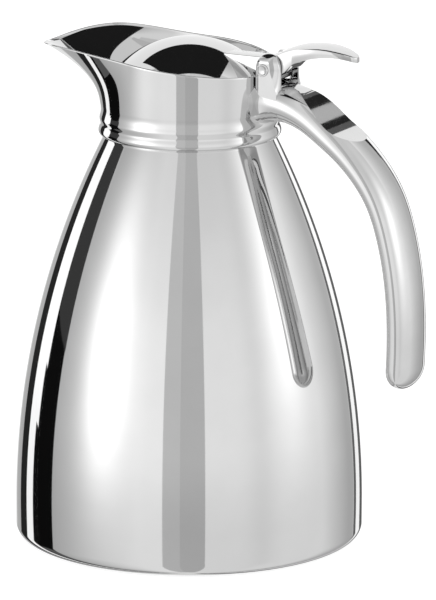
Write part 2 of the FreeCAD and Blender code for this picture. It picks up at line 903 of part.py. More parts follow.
def make_thumb_lever():
    """Lever: leaf-shaped thumb piece, knuckle on the pin, tongue on the dome."""
    arch = side_plate("lever_side", [
        (mm("hinge_x"), mm("hinge_z") - 1.0),
        (41.0, 180.9, 26.0, "right"),
        (57.0, 188.7, 90.0, "right"),
        (mm("lever_tip_x") - 0.4, mm("lever_tip_z") - 1.5),
        (mm("lever_tip_x"), mm("lever_tip_z"), 46.0, "left"),
        (mm("lever_peak_x"), mm("lever_peak_z"), 31.0, "left"),
        (37.0, 186.5),
        (mm("hinge_x"), 186.4),
    ], 12.0)
    half = mm("knuckle_half")
    leaf = flat_plate("lever_leaf", [
        (mm("hinge_x"), -half),
        (mm("lever_peak_x") - 2.0, -half, 30.0, "left"),
        (mm("lever_tip_x"), 0, 30.0, "left"),
        (mm("lever_peak_x") - 2.0, half),
        (mm("hinge_x"), half),
    ], 170.0, 30.0)
    blade = common("lever_blade", [arch, leaf])
    knuckle = cross_cylinder("lever_knuckle", mm("knuckle_radius"), mm("knuckle_half"))
    tongue = side_plate("lever_tongue", [
        (mm("tongue_front"), mm("tongue_top") - 4.0),
        (26.5, 178.6),
        (mm("hinge_x"), 178.6),
        (mm("hinge_x"), mm("hinge_z") + mm("knuckle_radius")),
        (32.0, mm("tongue_top")),
        (mm("tongue_front"), mm("tongue_top")),
    ], mm("tongue_half"))
    dome = doc.addObject("Part::Sphere", "dome_space")
    bind(dome, Radius=mm("dome_sphere"))
    place(dome, z=mm("dome_centre"))
    bore = cross_cylinder("knuckle_bore", mm("bush_radius"), mm("knuckle_half") + 1.0)
    blank = fuse("lever_blank", [blade, knuckle, tongue])
    holes = lid_screw_shanks("tongue_hole", 172.0, 1.0)
    for index, hole in enumerate(holes):
        alias = ("lid_screw_near", "lid_screw_far")[index]
        tip = SIZES["dome_centre"] + math.sqrt(SIZES["dome_sphere"] ** 2 - SIZES[alias] ** 2)
        bind(hole, Height=min(tip + 3.6, SIZES["tongue_top"] - 1.0) - 172.0)
    return node(cut("lever_cast", blank, fuse("lever_cuts", [dome, bore] + holes)), "thumb_lever")


def make_hinge_bushes():
    """Two flanged bushes in the knuckle, running on the pin."""
    bushes = []
    half = mm("knuckle_half")
    for side in (-1, 1):
        sleeve_start = half if side > 0 else as_size(0.0)
        sleeve = cylinder(f"bush_sleeve_{side + 1}", mm("bush_radius"), half, x=mm("hinge_x"),
                          y=sleeve_start, z=mm("hinge_z"), axis=(1, 0, 0), angle=90)
        flange_start = half + mm("bush_flange_wall") if side > 0 else -half
        flange = cylinder(f"bush_flange_{side + 1}", mm("bush_flange"), mm("bush_flange_wall"),
                          x=mm("hinge_x"), y=flange_start, z=mm("hinge_z"), axis=(1, 0, 0), angle=90)
        bore = cross_cylinder(f"bush_bore_{side + 1}", mm("pin_radius") + mm("pin_play"), 12.0)
        bushes.append(cut(f"bush_{side + 1}", fuse(f"bush_blank_{side + 1}", [sleeve, flange]), bore))
    return node(together("bush_pair", bushes), "hinge_bushes")


# ---------------------------------------------------------------- build

def check():
    """Stop if any object failed or any sub-part is not a valid solid."""
    for feature in doc.Objects:
        if "Invalid" in feature.State or "Error" in feature.State:
            raise RuntimeError(f"{feature.Name} failed: {feature.State}")
    for feature in nodes:
        shape = feature.Shape
        if shape.isNull() or not shape.isValid() or not shape.Solids:
            raise RuntimeError(f"{feature.Label} has no valid solid")


def export():
    """Write each sub-part to parts/NODE.step."""
    os.makedirs("parts", exist_ok=True)
    for feature in nodes:
        feature.Shape.exportStep(f"parts/{feature.Label}.step")
        print(f"{feature.Label:20s} solids {len(feature.Shape.Solids)} volume {feature.Shape.Volume:10.1f}")


fill_sheet()
make_outer_shell()
make_outer_bottom()
make_vacuum_seal()
make_getter()
make_base_cover()
make_foot_ring()
make_inner_vessel()
make_inner_bottom()
make_neck_ring()
make_neck_gasket()
make_pour_funnel()
make_spout_collar()
make_handle()
make_backplates()
make_handle_screws()
make_hinge_pin()
make_hinge_pin_cap()
make_lid_cover()
make_lid_stopper()
make_lid_insulation()
make_lid_seal()
make_lid_screws()
make_thumb_lever()
make_hinge_bushes()
doc.recompute()
check()
export()
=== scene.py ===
"""Looks of the vacuum coffee pot: polished steel shells, cast handle and lever, in a light tent.

Everything is in metres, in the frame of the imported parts: +Z up, handle towards +X, spout towards -X.
"""
import json
import math

import bmesh
import bpy
import numpy as np
from mathutils import Matrix, Vector


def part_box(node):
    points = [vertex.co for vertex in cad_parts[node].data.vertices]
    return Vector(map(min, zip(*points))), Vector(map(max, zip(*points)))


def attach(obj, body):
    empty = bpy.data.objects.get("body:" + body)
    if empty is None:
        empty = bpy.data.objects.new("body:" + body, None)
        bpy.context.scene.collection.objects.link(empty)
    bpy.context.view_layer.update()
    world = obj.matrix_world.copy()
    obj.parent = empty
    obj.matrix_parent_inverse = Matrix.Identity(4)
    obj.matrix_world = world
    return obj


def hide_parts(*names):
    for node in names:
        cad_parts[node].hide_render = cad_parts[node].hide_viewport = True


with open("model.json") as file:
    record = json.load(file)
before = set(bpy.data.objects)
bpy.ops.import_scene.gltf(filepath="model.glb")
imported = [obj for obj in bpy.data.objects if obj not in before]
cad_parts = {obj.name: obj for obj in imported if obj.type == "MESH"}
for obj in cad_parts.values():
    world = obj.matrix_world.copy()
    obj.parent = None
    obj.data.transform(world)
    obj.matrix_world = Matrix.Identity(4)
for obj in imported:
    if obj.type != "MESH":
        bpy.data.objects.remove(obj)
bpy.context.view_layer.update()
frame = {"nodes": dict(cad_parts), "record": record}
scene = bpy.context.scene

MM = 0.001

# ---------------------------------------------------------------- camera and studio

VIEW_TURN = math.radians(28.0)        # the camera stands this far round from -Y towards +X
VIEW_DISTANCE = 2.317
VIEW_HEIGHT = 0.6475
VIEW_PITCH = math.radians(13.53)
VIEW_YAW = math.radians(0.263)
VIEW_ROLL = math.radians(0.18)
LENS = 383.2

TENT_RADIUS = 8.0
TENT_HEIGHT = 0.09
STEEL_TONE = 0.68                     # share of light that polished stainless steel gives back
LIGHT_GAIN = 1.0 / STEEL_TONE
SCREEN_GAMMA = 2.2
FADE_START = -4.0                     # elevation, in degrees, where the studio starts to darken downwards
FADE_SPAN = 10.0
FADE_DEPTH = 0.07
CEILING_HEIGHT = 5.0
CEILING_TONE = 0.12
FLOOR_SIDE = 6.0


def clamp(value):
    """The value kept between 0 and 1."""
    return min(max(value, 0.0), 1.0)


def shown(tone):
    """Strength of a light that shows as this tone, from 0 to 1, when polished steel mirrors it."""
    return LIGHT_GAIN * tone ** SCREEN_GAMMA


def direction(azimuth, elevation):
    """Unit vector at an azimuth from the camera's side, positive to the camera's right, in degrees."""
    turn = VIEW_TURN + math.radians(azimuth)
    rise = math.radians(elevation)
    return Vector((math.sin(turn) * math.cos(rise), -math.cos(turn) * math.cos(rise), math.sin(rise)))


def add_object(name, mesh):
    piece = bpy.data.objects.new(name, mesh)
    scene.collection.objects.link(piece)
    return piece


def make_camera():
    data = bpy.data.cameras.new("camera")
    data.sensor_width = 36.0
    data.lens = LENS
    data.clip_start = 0.05
    data.clip_end = 60.0
    camera = add_object("camera", data)
    camera.location = direction(0.0, 0.0) * VIEW_DISTANCE + Vector((0.0, 0.0, VIEW_HEIGHT))
    turn = Matrix.Rotation(VIEW_TURN - VIEW_YAW, 4, "Z")
    tilt = Matrix.Rotation(math.pi / 2 - VIEW_PITCH, 4, "X")
    roll = Matrix.Rotation(VIEW_ROLL, 4, "Z")
    camera.rotation_euler = (turn @ tilt @ roll).to_euler()
    scene.camera = camera


def glow_material(name, tone):
    """An even light, given as the tone from 0 to 1 that it shows in the steel."""
    material = bpy.data.materials.new(name)
    material.use_nodes = True
    nodes = material.node_tree.nodes
    nodes.clear()
    light = nodes.new("ShaderNodeEmission")
    light.inputs["Strength"].default_value = shown(tone)
    out = nodes.new("ShaderNodeOutputMaterial")
    material.node_tree.links.new(light.outputs["Emission"], out.inputs["Surface"])
    return material


def cloth_material(name):
    """A glow whose strength comes from the tones held at the mesh's points."""
    material = glow_material(name, 1.0)
    nodes = material.node_tree.nodes
    tone = nodes.new("ShaderNodeAttribute")
    tone.attribute_name = "tone"
    material.node_tree.links.new(tone.outputs["Fac"], nodes["Emission"].inputs["Strength"])
    return material


def add_tones(piece, tones):
    attribute = piece.data.attributes.new("tone", "FLOAT", "POINT")
    attribute.data.foreach_set("value", tones)


def stage_piece(name, vertices, faces, material):
    mesh = bpy.data.meshes.new(name)
    mesh.from_pydata(vertices, [], faces)
    mesh.materials.append(material)
    piece = add_object(name, mesh)
    piece.visible_camera = False
    piece.visible_shadow = False
    return piece


def low_fade(elevation):
    """The studio darkens a little from eye level down to the table."""
    return 1.0 - FADE_DEPTH * clamp((FADE_START - elevation) / FADE_SPAN)


def tent_tone(azimuth, elevation):
    """Brightness of the tent's cloth: grey-white, with a soft light behind it on either side."""
    def spot(centre, height, width, tall, below, power):
        across = (azimuth - centre) / width
        up = (elevation - height) / (tall if elevation > height else below)
        return power * math.exp(-across * across - up * up)

    if azimuth < 0:
        cloth = 0.66 + 0.24 * clamp((azimuth + 104.0) / 70.0)
        if azimuth < -121.0:
            cloth = 0.86
    else:
        cloth = 0.86 - 0.20 * clamp((azimuth - 100.0) / 33.0)
        if azimuth > 142.0:
            cloth = 0.86
    if abs(azimuth) < 100.0:
        cloth -= 0.10 * clamp((elevation - 12.0) / 30.0)
    left_light = spot(-63.0, 6.0, 18.0, 21.0, 15.0, 0.42)
    right_light = spot(76.0, 12.0, 15.0, 26.0, 15.0, 0.22)
    shade = spot(49.0, 0.0, 9.0, 40.0, 40.0, -0.04)
    return (cloth + (left_light + right_light) + shade) * low_fade(elevation)


def make_tent():
    """The white tent round the pot, as a sphere whose vertices hold its brightness."""
    step = 3
    azimuths = range(-180, 180, step)
    elevations = range(-90, 91, step)
    vertices = []
    tones = []
    for elevation in elevations:
        for azimuth in azimuths:
            point = direction(azimuth, elevation) * TENT_RADIUS
            vertices.append((point.x, point.y, point.z + TENT_HEIGHT))
            tones.append(shown(tent_tone(azimuth, elevation)))
    count = len(azimuths)
    faces = []
    for row in range(len(elevations) - 1):
        for column in range(count):
            beside = (column + 1) % count
            faces.append((row * count + column, row * count + beside,
                          (row + 1) * count + beside, (row + 1) * count + column))
    add_tones(stage_piece("tent", vertices, faces, cloth_material("tent_cloth")), tones)


# name, azimuths from and to, elevations from and to, tone: upright cards and gaps in the tent
CARDS = [
    ("camera_gap_left", -17.5, -6.0, -80, 78, 0.71),
    ("camera_gap_right", -6.0, 10.5, -80, 84, 0.67),
    ("black_flag_foot", -121.0, -103.0, -80, -24, 0.34),
    ("black_flag_low", -121.0, -103.0, -24, 1, 0.08),
    ("black_flag_high", -121.0, -102.5, 1, 24, 0.22),
    ("side_light_left", -137.5, -121.0, -80, 20, 1.0),
    ("black_flag_side", -123.5, -121.0, -80, -4, 0.08),
    ("black_flag_side_low", -127.0, -123.5, -80, -9, 0.08),
    ("rear_flag_left", -151.0, -137.5, -80, 8, 0.16),
    ("rear_cloth_left", -166.0, -151.0, -80, 2, 0.66),
    ("rear_flag_right", 142.5, 147.5, -80, 16, 0.38),
    ("rear_flag_right_high", 141.0, 148.0, 16, 36, 0.15),
    ("rear_flag_high", 148.0, 157.0, 22, 38, 0.33),
    ("side_light_right", 147.5, 158.0, -80, 16, 0.96),
    ("rear_dark_right", 158.0, 172.0, -80, -2, 0.35),
]


def make_card(number, name, left, right, low, high, tone):
    radius = TENT_RADIUS * (0.9 - 0.01 * number)
    across = 12
    up = 60
    vertices = []
    tones = []
    for row in range(up + 1):
        for column in range(across + 1):
            azimuth = left + (right - left) * column / across
            elevation = low + (high - low) * row / up
            point = direction(azimuth, elevation) * radius
            vertices.append((point.x, point.y, point.z + TENT_HEIGHT))
            tones.append(shown(tone * low_fade(elevation)))
    faces = []
    for row in range(up):
        for column in range(across):
            corner = row * (across + 1) + column
            faces.append((corner, corner + 1, corner + across + 2, corner + across + 1))
    add_tones(stage_piece(name, vertices, faces, cloth_material(name)), tones)


def make_ceiling():
    """The black cloth over the tent's opening, above and behind the pot."""
    # across to the right and forward to the camera, per metre of height: wider at the back
    corners = [(-0.4, 0.05), (0.5, 0.05), (0.7, -1.6), (-1.0, -1.6)]
    right = direction(90.0, 0.0)
    front = direction(0.0, 0.0)
    vertices = []
    for across, forward in corners:
        point = (right * across + front * forward) * CEILING_HEIGHT
        vertices.append((point.x, point.y, CEILING_HEIGHT + TENT_HEIGHT))
    material = glow_material("ceiling_cloth", CEILING_TONE)
    stage_piece("ceiling_cloth", vertices, [tuple(range(len(corners)))], material)


def make_floor():
    mesh = bpy.data.meshes.new("floor")
    side = FLOOR_SIDE
    corners = [(-side, -side, 0), (side, -side, 0), (side, side, 0), (-side, side, 0)]
    mesh.from_pydata(corners, [], [(0, 1, 2, 3)])
    material = bpy.data.materials.new("floor")
    material.use_nodes = True
    shader = material.node_tree.nodes["Principled BSDF"]
    shader.inputs["Base Color"].default_value = (0.6, 0.6, 0.6, 1.0)
    shader.inputs["Roughness"].default_value = 0.9
    shader.inputs["Emission Color"].default_value = (1.0, 1.0, 1.0, 1.0)
    shader.inputs["Emission Strength"].default_value = 0.75
    mesh.materials.append(material)
    floor = add_object("floor", mesh)
    floor.visible_glossy = False


def make_world():
    world = bpy.data.worlds.new("studio")
    scene.world = world
    world.use_nodes = True
    background = world.node_tree.nodes["Background"]
    background.inputs["Color"].default_value = (1.0, 1.0, 1.0, 1.0)
    background.inputs["Strength"].default_value = 1.0


def make_studio():
    make_camera()
    make_world()
    make_floor()
    make_tent()
    for number, card in enumerate(CARDS):
        make_card(number, *card)
    make_ceiling()
    scene.view_settings.view_transform = "Standard"


NOISE_LOW = 0.3                       # the part of the noise's range that the finishes use
NOISE_HIGH = 0.7


def surface(name, dark, light, metallic, rough, scale, relief, stretch=(1.0, 1.0, 1.0)):
    """A finish: two tones and a range of roughness mixed by noise, with a fine relief.

    scale is the noise's detail per metre, relief its depth in metres, stretch its grain.
    """
    material = bpy.data.materials.new(name)
    material.use_nodes = True
    nodes = material.node_tree.nodes
    links = material.node_tree.links
    shader = nodes["Principled BSDF"]
    shader.inputs["Metallic"].default_value = metallic
    place = nodes.new("ShaderNodeTexCoord")
    grain = nodes.new("ShaderNodeMapping")
    grain.inputs["Scale"].default_value = stretch
    links.new(place.outputs["Object"], grain.inputs["Vector"])
    cloud = nodes.new("ShaderNodeTexNoise")
    cloud.inputs["Scale"].default_value = scale
    cloud.inputs["Detail"].default_value = 4.0
    links.new(grain.outputs["Vector"], cloud.inputs["Vector"])
    tones = nodes.new("ShaderNodeValToRGB")
    tones.color_ramp.elements[0].position = NOISE_LOW
    tones.color_ramp.elements[1].position = NOISE_HIGH
    tones.color_ramp.elements[0].color = (*dark, 1.0)
    tones.color_ramp.elements[1].color = (*light, 1.0)
    links.new(cloud.outputs["Fac"], tones.inputs["Fac"])
    links.new(tones.outputs["Color"], shader.inputs["Base Color"])
    polish = nodes.new("ShaderNodeMapRange")
    polish.inputs["From Min"].default_value = NOISE_LOW
    polish.inputs["From Max"].default_value = NOISE_HIGH
    polish.inputs["To Min"].default_value = rough[0]
    polish.inputs["To Max"].default_value = rough[1]
    links.new(cloud.outputs["Fac"], polish.inputs["Value"])
    links.new(polish.outputs["Result"], shader.inputs["Roughness"])
    bump = nodes.new("ShaderNodeBump")
    bump.inputs["Strength"].default_value = 1.0
    bump.inputs["Distance"].default_value = relief
    links.new(cloud.outputs["Fac"], bump.inputs["Height"])
    links.new(bump.outputs["Normal"], shader.inputs["Normal"])
    return material


def grey(tone):
    return (tone, tone, tone)


def make_finishes():
    """One material for each finish that the record names."""
    low, high = STEEL_TONE - 0.015, STEEL_TONE + 0.015
    return {
        "polished_steel": surface("polished_steel", grey(low), grey(high), 1.0, (0.025, 0.05), 45.0, 2e-6),
        "polished_casting": surface("polished_casting", grey(low), grey(high), 1.0, (0.04, 0.07),
                                    120.0, 2e-6),
        "satin_steel": surface("satin_steel", grey(0.45), grey(0.6), 1.0, (0.28, 0.42), 900.0, 8e-6,
                               stretch=(1.0, 1.0, 12.0)),
        "solder": surface("solder", grey(0.38), grey(0.55), 1.0, (0.35, 0.55), 700.0, 4e-5),
        "silicone": surface("silicone", grey(0.012), grey(0.022), 0.0, (0.5, 0.62), 1500.0, 1e-5),
        "black_plastic": surface("black_plastic", grey(0.01), grey(0.02), 0.0, (0.32, 0.45),
                                 2400.0, 1.5e-5),
        "foam": surface("foam", (0.62, 0.56, 0.40), (0.80, 0.75, 0.60), 0.0, (0.8, 0.95), 1100.0, 1.5e-4),
    }


# ---------------------------------------------------------------- mesh helpers

def smooth_curve(stations, values):
    """Natural cubic spline through the values at the stations, as a function."""
    at = np.array(stations, float)
    value = np.array(values, float)
    step = np.diff(at)
    slope = np.diff(value) / step
    count = len(at)
    system = np.eye(count)
    target = np.zeros(count)
    for i in range(1, count - 1):
        system[i, i - 1:i + 2] = step[i - 1], 2.0 * (step[i - 1] + step[i]), step[i]
        target[i] = 6.0 * (slope[i] - slope[i - 1])
    bend = np.linalg.solve(system, target)

    def curve(x):
        i = int(np.clip(np.searchsorted(at, x) - 1, 0, count - 2))
        before = (at[i + 1] - x) / step[i]
        after = (x - at[i]) / step[i]
        cubic = (before ** 3 - before) * bend[i] + (after ** 3 - after) * bend[i + 1]
        return before * value[i] + after * value[i + 1] + cubic * step[i] ** 2 / 6.0

    return curve


def spread(start, end, count):
    """Evenly spaced numbers from start to end, both included."""
    return [start + (end - start) * i / (count - 1) for i in range(count)]


def arc(across, up, radius, start, end, count):
    """Points of an arc in a plane; angles in degrees from the first axis."""
    return [(across + radius * math.cos(math.radians(a)), up + radius * math.sin(math.radians(a)))
            for a in spread(start, end, count)]


def finish_mesh(mesh, sharp=34.0):
    """Faces outward, shaded smooth, with crisp edges where the surface turns sharply."""
    work = bmesh.new()
    work.from_mesh(mesh)
    bmesh.ops.remove_doubles(work, verts=work.verts, dist=1e-7)
    bmesh.ops.recalc_face_normals(work, faces=work.faces)
    work.to_mesh(mesh)
    work.free()
    mesh.shade_smooth()
    mesh.set_sharp_from_angle(angle=math.radians(sharp))
    return mesh


def ring_mesh(name, rings, looped=False, sharp=34.0):
    """Closed mesh through rings of points in millimetres; the ends are capped unless the rings loop."""
    count = len(rings[0])
    vertices = [(x * MM, y * MM, z * MM) for ring in rings for x, y, z in ring]
    faces = []
    last = len(rings) if looped else len(rings) - 1
    for row in range(last):
        above = (row + 1) % len(rings)
        for column in range(count):
            beside = (column + 1) % count
            faces.append((row * count + column, row * count + beside,
                          above * count + beside, above * count + column))
    if not looped:
        faces.append(tuple(reversed(range(count))))
        faces.append(tuple(range((len(rings) - 1) * count, len(rings) * count)))
    mesh = bpy.data.meshes.new(name)
    mesh.from_pydata(vertices, [], faces)
    return finish_mesh(mesh, sharp)


def turned_mesh(name, outline, segments=256, sharp=34.0):
    """Solid of revolution about Z from a closed outline of (radius, height)."""
    rings = []
    for step in range(segments):
        angle = 2.0 * math.pi * step / segments
        rings.append([(r * math.cos(angle), r * math.sin(angle), z) for r, z in outline])
    return ring_mesh(name, rings, looped=True, sharp=sharp)


def combine(name, first, others, operation="UNION", sharp=34.0):
    """One closed mesh from several, by exact booleans."""
    base = add_object(name + "_work", first)
    tools = [add_object(name + "_tool", mesh) for mesh in others]
    for tool in tools:
        step = base.modifiers.new("step", "BOOLEAN")
        step.operation = operation
        step.solver = "EXACT"
        step.object = tool
    graph = bpy.context.evaluated_depsgraph_get()
    mesh = bpy.data.meshes.new_from_object(base.evaluated_get(graph))
    mesh.name = name
    for piece in [base] + tools:
        bpy.data.objects.remove(piece)
    return finish_mesh(mesh, sharp)


def box_mesh(name, low, high):
    corners = [(x, y, z) for z in (low[2], high[2]) for x, y in
               ((low[0], low[1]), (high[0], low[1]), (high[0], high[1]), (low[0], high[1]))]
    return ring_mesh(name, [corners[:4], corners[4:]])


def add_piece(name, mesh, material, body, slot, *replaced):
    mesh.materials.clear()
    mesh.materials.append(material)
    piece = add_object(name, mesh)
    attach(piece, body)
    if replaced:
        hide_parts(*replaced)
    return piece


# ---------------------------------------------------------------- body

SEAM = 153.7
NECK = 31.6


def add_body_shell(material):
    """Outer wall: bottom lip, rounded corner, one long arc to the seam, and the neck in the collar."""
    low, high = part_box("outer_shell")
    radius = 65.0
    bottom = low.z / MM
    top = high.z / MM
    corner = 4.5
    wall = 0.8
    arc_radius = 313.0
    arc_start = 13.0
    rise = math.degrees(math.asin((SEAM - arc_start) / arc_radius))
    lip_radius = 57.5
    outside = [(lip_radius, bottom)]
    outside += arc(radius - corner, bottom + corner, corner, -90.0, 0.0, 14)
    outside += arc(radius - arc_radius, arc_start, arc_radius, 0.0, rise, 120)
    outside += [(NECK, SEAM + 0.3), (NECK, top), (NECK - wall, top), (NECK - wall, SEAM)]
    inside = arc(radius - arc_radius, arc_start, arc_radius - wall, rise, 0.0, 40)
    inside += arc(radius - corner, bottom + corner, corner - wall, 0.0, -90.0, 8)
    inside += [(lip_radius, bottom + wall)]
    mesh = turned_mesh("body_shell", outside + inside)
    return add_piece("body_shell", mesh, material, "pot", "polished_steel", "outer_shell")


# ---------------------------------------------------------------- collar

COLLAR = 33.0
COLLAR_WALL = 0.85
SPOUT_REACH = 24.8
SPOUT_ROOT = 156.4
SPOUT_LEVEL = 184.0
SPOUT_ANGLE = math.radians(76.0)
KEEL_FLARE = 2.1                      # how late the wall turns outwards: at the keel, and at the cheeks
FLANK_FLARE = 4.4
BEAD_TOP = 165.0                      # the collar's wall is plain above this height
BLEND_START = 160.0
BLEND_SPAN = 6.0
NOTCH_HALF = 6.7
NOTCH_BOTTOM = 177.2

# height of the rim along X, from the lip's tip to the back
rim_height = smooth_curve((-62.0, -59.3, -55.0, -50.0, -45.0, -38.0, -20.0, 0.0, 20.0, 34.0),
                          (182.0, 183.9, 185.7, 186.7, 187.1, 186.9, 185.3, 183.6, 181.3, 179.5))
# the rolled bead, its groove and the second soft roll, as the collar's radius by height
bead_radius = smooth_curve((153.7, 154.4, 155.6, 156.8, 157.8, 158.8, 160.0, 161.4, 163.0, 165.0),
                           (33.15, 33.75, 33.95, 33.62, 33.3, 33.42, 33.6, 33.3, 33.02, 33.0))


def nose(angle):
    """Share of the spout's reach left at an angle from its keel."""
    blunt = 0.2
    share = min(abs(angle) / SPOUT_ANGLE, 1.0)
    fall = (math.hypot(share, blunt) - blunt) / (math.hypot(1.0, blunt) - blunt)
    return max(1.0 - fall, 0.0) ** 1.9


def collar_point(angle, height, inset):
    rise = max((height - SPOUT_ROOT) / (SPOUT_LEVEL - SPOUT_ROOT), 0.0)
    base = bead_radius(height) if height < BEAD_TOP and inset == 0.0 else COLLAR
    blend = clamp((height - BLEND_START) / BLEND_SPAN)
    share = nose(angle)
    power = KEEL_FLARE + (FLANK_FLARE - KEEL_FLARE) * (1.0 - share)
    reach = SPOUT_REACH * rise ** power * share * blend * blend * (3.0 - 2.0 * blend)
    radius = base - inset + reach
    return (-radius * math.cos(angle), -radius * math.sin(angle), height)


def collar_top(angle):
    """Height where the collar's wall meets the rim's curve."""
    height = SPOUT_LEVEL
    for _ in range(12):
        x = collar_point(angle, height, 0.0)[0]
        height = 0.5 * height + 0.5 * rim_height(x)
    x, y = collar_point(angle, height, 0.0)[:2]
    step = clamp((NOTCH_HALF + 0.3 - abs(y)) / 0.6) if x > 0 else 0.0
    return height - step * (height - NOTCH_BOTTOM)


def add_collar(material):
    """Pouring collar: rolled bead at the foot, straight back and cheeks, flared lip, rounded rim."""
    columns = 360
    angles = []
    for column in range(columns):
        share = 2.0 * column / columns - 1.0
        angles.append(math.pi * (0.5 * share + 0.5 * share ** 3))
    tops = [collar_top(angle) for angle in angles]
    edge = 0.5 * COLLAR_WALL
    rings = []
    for share in spread(0.0, 1.0, 34):
        rings.append([collar_point(a, SEAM + (BEAD_TOP - SEAM) * share, 0.0) for a in angles])
    for share in spread(0.0, 1.0, 46)[1:]:
        rings.append([collar_point(a, BEAD_TOP + (top - edge - BEAD_TOP) * share, 0.0)
                      for a, top in zip(angles, tops)])
    for turn in (30.0, 60.0, 90.0, 120.0, 150.0):
        inset = edge * (1.0 - math.cos(math.radians(turn)))
        lift = edge * math.sin(math.radians(turn))
        ring = []
        for a, top in zip(angles, tops):
            x, y = collar_point(a, top - edge, inset)[:2]
            ring.append((x, y, top - edge + lift))
        rings.append(ring)
    for share in spread(1.0, 0.0, 46):
        rings.append([collar_point(a, BLEND_START + (top - edge - BLEND_START) * share, COLLAR_WALL)
                      for a, top in zip(angles, tops)])
    rings.append([collar_point(a, SEAM, COLLAR_WALL) for a in angles])
    mesh = ring_mesh("pouring_collar", rings, looped=True, sharp=50.0)
    return add_piece("pouring_collar", mesh, material, "pot", "polished_steel", "spout_collar")


# ---------------------------------------------------------------- handle

HANDLE_LINE = [(31.6, 169.6), (36.0, 169.5), (43.0, 168.6), (51.2, 165.5), (59.0, 160.3), (66.8, 154.3),
               (74.0, 147.1), (80.5, 137.7), (85.0, 126.0), (88.2, 111.5), (89.8, 96.0), (90.0, 82.0),
               (89.3, 67.0)]
# distance along the handle, half height above and below its line, half width, squareness
HANDLE_SHAPE = [(0.0, 7.6, 9.6, 12.2, 2.7), (1.3, 7.5, 8.9, 11.1, 2.6), (2.8, 7.4, 8.2, 10.5, 2.5),
                (5.5, 7.3, 7.5, 10.2, 2.45), (9.0, 7.2, 7.0, 10.4, 2.4), (14.0, 7.1, 6.7, 10.8, 2.35),
                (22.0, 7.0, 6.3, 11.2, 2.3), (34.0, 6.6, 5.8, 11.6, 2.2), (55.0, 5.7, 5.4, 11.9, 2.15),
                (90.0, 5.3, 5.3, 12.0, 2.1), (140.0, 5.3, 5.3, 12.0, 2.1)]
# height of the thumb facet along X: flat across, bent a little along the arch
facet_height = smooth_curve((36.0, 42.8, 49.0, 54.0, 57.0, 59.0, 61.5, 64.5, 68.8, 74.0, 80.0),
                            (179.6, 176.7, 173.6, 169.8, 167.0, 165.1, 163.0, 161.2, 159.4, 157.4, 155.4))
HANDLE_END = 8.0                      # length of the rounding at the grip's free end
UNDERSIDE_SQUARENESS = 2.05
HINGE = (35.3, 182.5)
EAR_INNER = 6.7
EAR_OUTER = 10.0
EAR_BACK = 41.4


def section(centre, along, up, down, wide, power, count=96):
    """Rounded section across the handle; centre and along are (x, z)."""
    outward = Vector((-along[1], along[0]))
    if outward.y < 0 and abs(along[0]) > 0.9:
        outward = -outward
    lower = min(power, UNDERSIDE_SQUARENESS)
    ring = []
    for step in range(count):
        turn = 2.0 * math.pi * step / count
        c = math.cos(turn)
        s = math.sin(turn)
        tall = up if s > 0 else down
        bend = power if s > 0 else lower
        y = wide * math.copysign(abs(c) ** (2.0 / bend), c)
        rise = tall * math.copysign(abs(s) ** (2.0 / bend), s)
        ring.append((centre[0] + outward.x * rise, y, centre[1] + outward.y * rise))
    return ring


def handle_grip():
    """The swept casting from the collar over the arch to its rounded free end."""
    points = np.array(HANDLE_LINE)
    reach = np.concatenate([[0.0], np.cumsum(np.hypot(*np.diff(points, axis=0).T))])
    line_x = smooth_curve(reach, points[:, 0])
    line_z = smooth_curve(reach, points[:, 1])
    columns = list(zip(*HANDLE_SHAPE))
    shape = [smooth_curve(columns[0], column) for column in columns[1:]]
    furthest = HANDLE_SHAPE[-1][0]
    ahead = 0.2
    length = reach[-1]
    end = HANDLE_END
    stations = spread(0.0, length - end, 130)
    stations += [length - end * (1.0 - math.sin(math.radians(turn))) for turn in spread(0.0, 88.0, 18)[1:]]
    rings = []
    for number, at in enumerate(stations):
        along = Vector((line_x(at + ahead) - line_x(at - ahead),
                        line_z(at + ahead) - line_z(at - ahead))).normalized()
        up, down, wide, power = (curve(min(at, furthest)) for curve in shape)
        left = max(1.0 - (length - at) / end, 0.0)
        close = math.sqrt(max(1.0 - left * left, 0.0))
        ring = section((line_x(at), line_z(at)), along, up * close, down * close, wide * close, power)
        if number == 0:
            ring = [(math.sqrt((COLLAR - 0.4) ** 2 - y * y), y, z) for _x, y, z in ring]
        rings.append(ring)
    return ring_mesh("handle_grip", rings)


